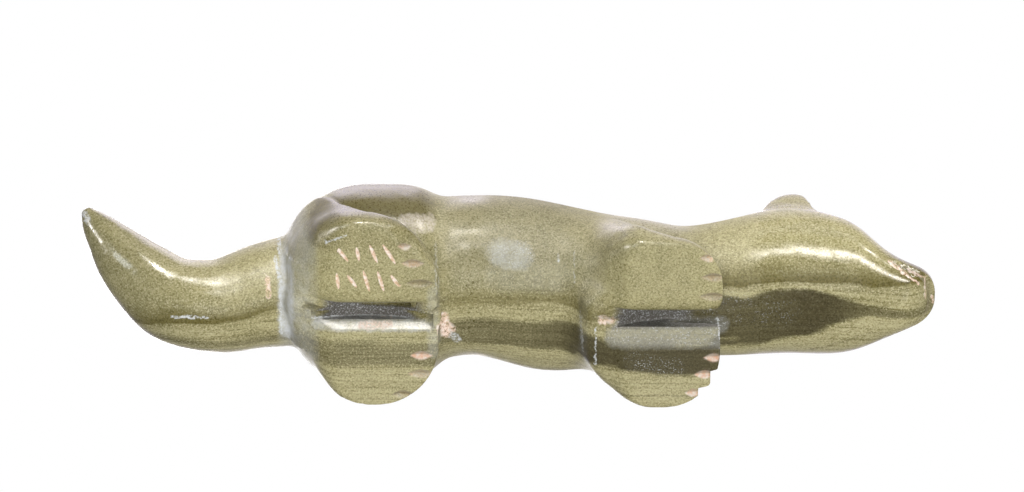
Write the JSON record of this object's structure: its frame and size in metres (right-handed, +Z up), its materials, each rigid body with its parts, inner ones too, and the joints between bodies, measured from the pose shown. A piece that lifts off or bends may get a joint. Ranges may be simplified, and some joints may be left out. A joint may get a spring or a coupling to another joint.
{
  "type": "weasel fetish carving",
  "caption": "Long low weasel carved from one banded green stone, tail curled to one side, standing on flat sawn soles with wheel-cut claws and mouth.",
  "frame": {"origin": "on the plane of the soles, under the middle of the carving's bounding box", "axes": "+X to the nose, +Y to the animal's left, +Z up"},
  "size_m": [0.1078, 0.0256, 0.0258],
  "materials": {
    "stone": "polished banded serpentine, matt where sawn"
  },
  "bodies": {
    "root": {"weasel_carving": "stone"}
  },
  "joints": []
}
